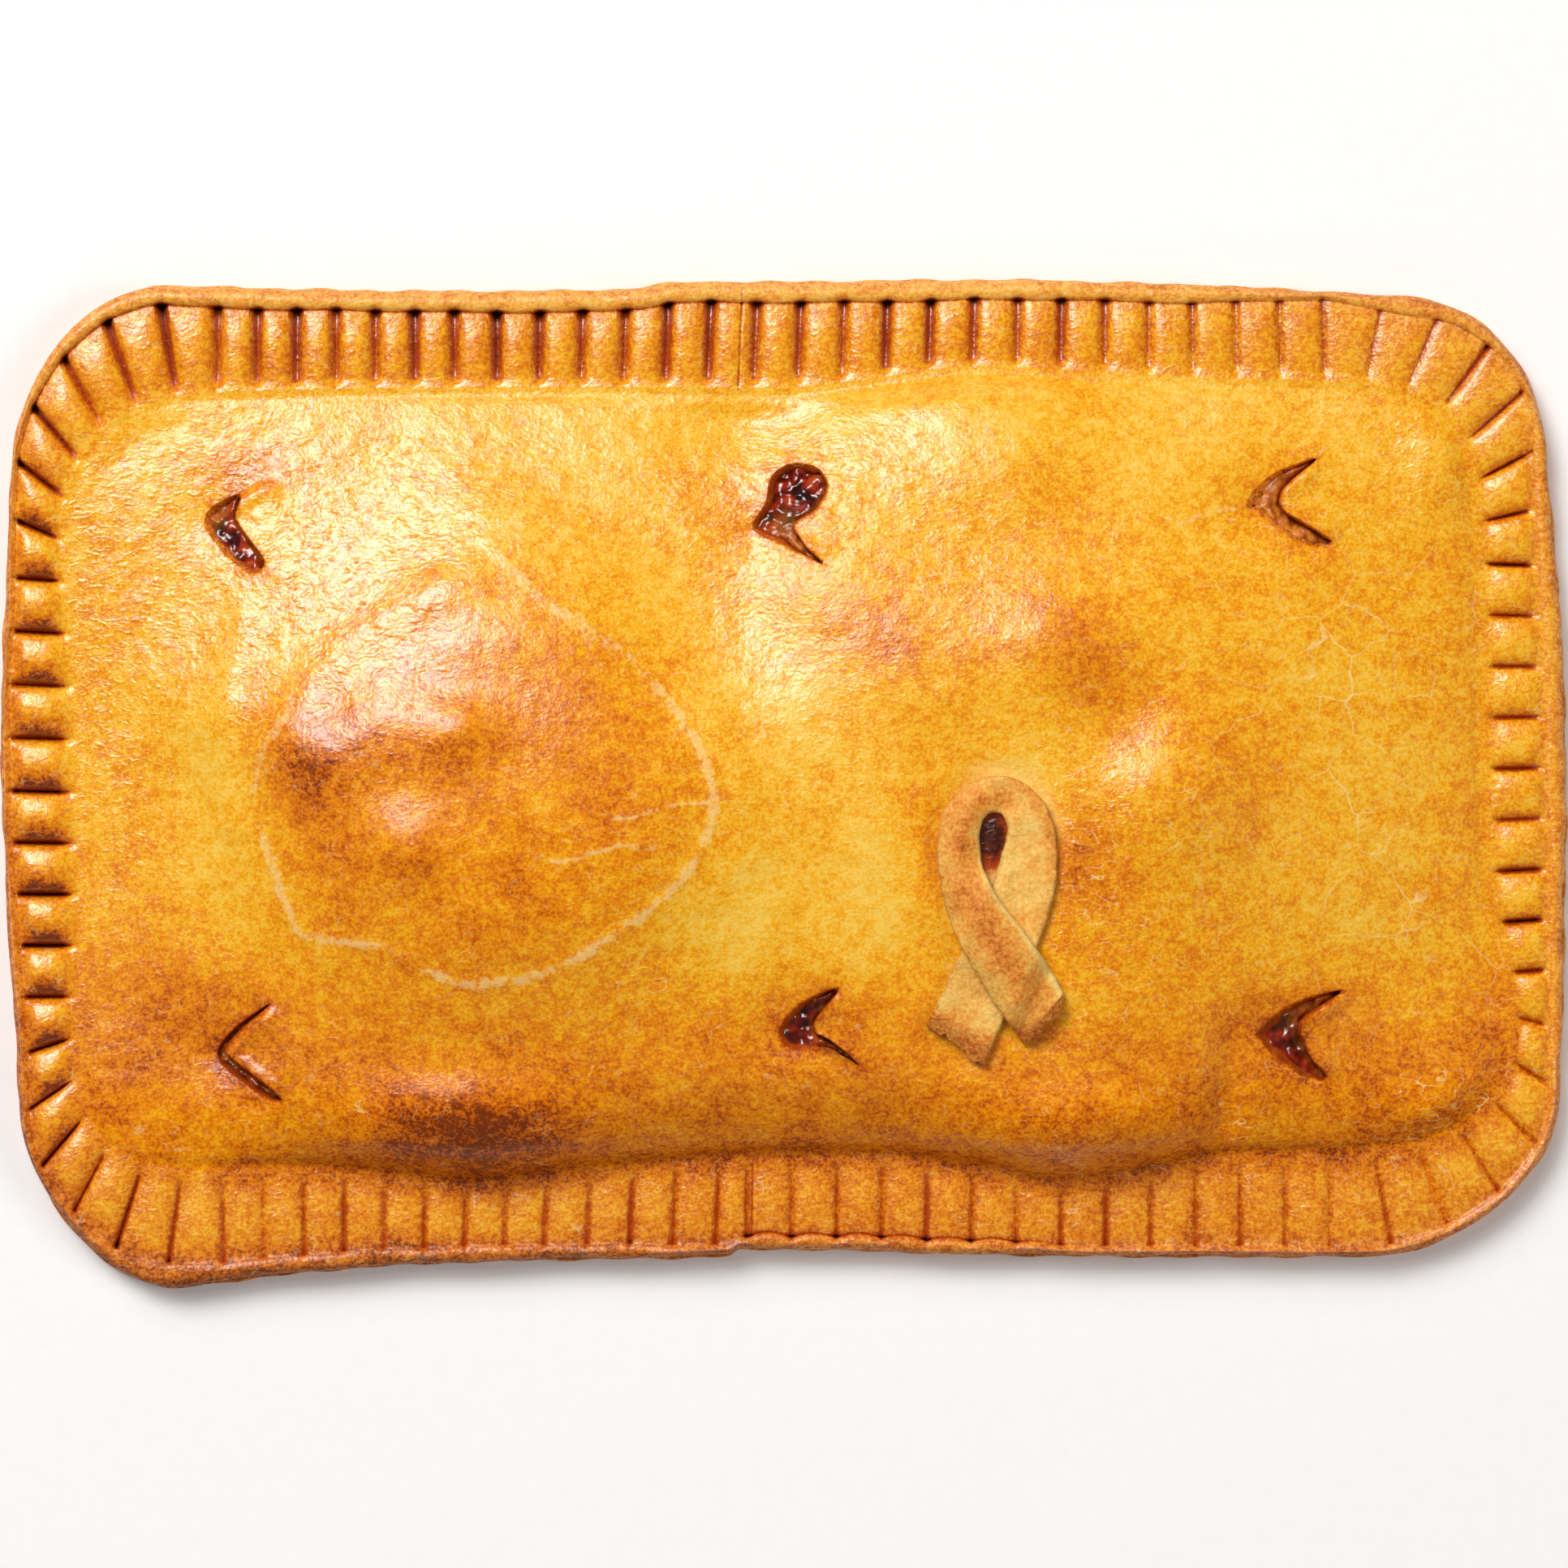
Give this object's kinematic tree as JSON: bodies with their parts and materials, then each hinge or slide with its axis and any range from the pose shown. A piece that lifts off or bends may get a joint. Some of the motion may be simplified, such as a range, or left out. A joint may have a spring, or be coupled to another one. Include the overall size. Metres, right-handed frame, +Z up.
{
  "type": "rectangular tuna pie",
  "caption": "Whole rectangular covered savoury pie with a crimped rim, slit vents over a dark tuna filling and a crossed loop of dough on its golden lid.",
  "frame": {"origin": "middle of the overall box, on the plane that the flat underside rests on", "axes": "+X along the long side, to the end with the dough loop. +Y across, to the side with the deep crimps. +Z up"},
  "size_m": [0.2997, 0.193, 0.0301],
  "materials": {
    "base_dough": "dry baked dough edge",
    "tuna_filling": "wet oily tomato and tuna filling",
    "lid_crust": "egg-washed golden crust with a soft sheen",
    "loop_dough": "dry pale baked dough"
  },
  "bodies": {
    "root": {"base_sheet": "base_dough", "filling": "tuna_filling", "lid_sheet": "lid_crust", "dough_loop": "loop_dough"}
  },
  "joints": []
}
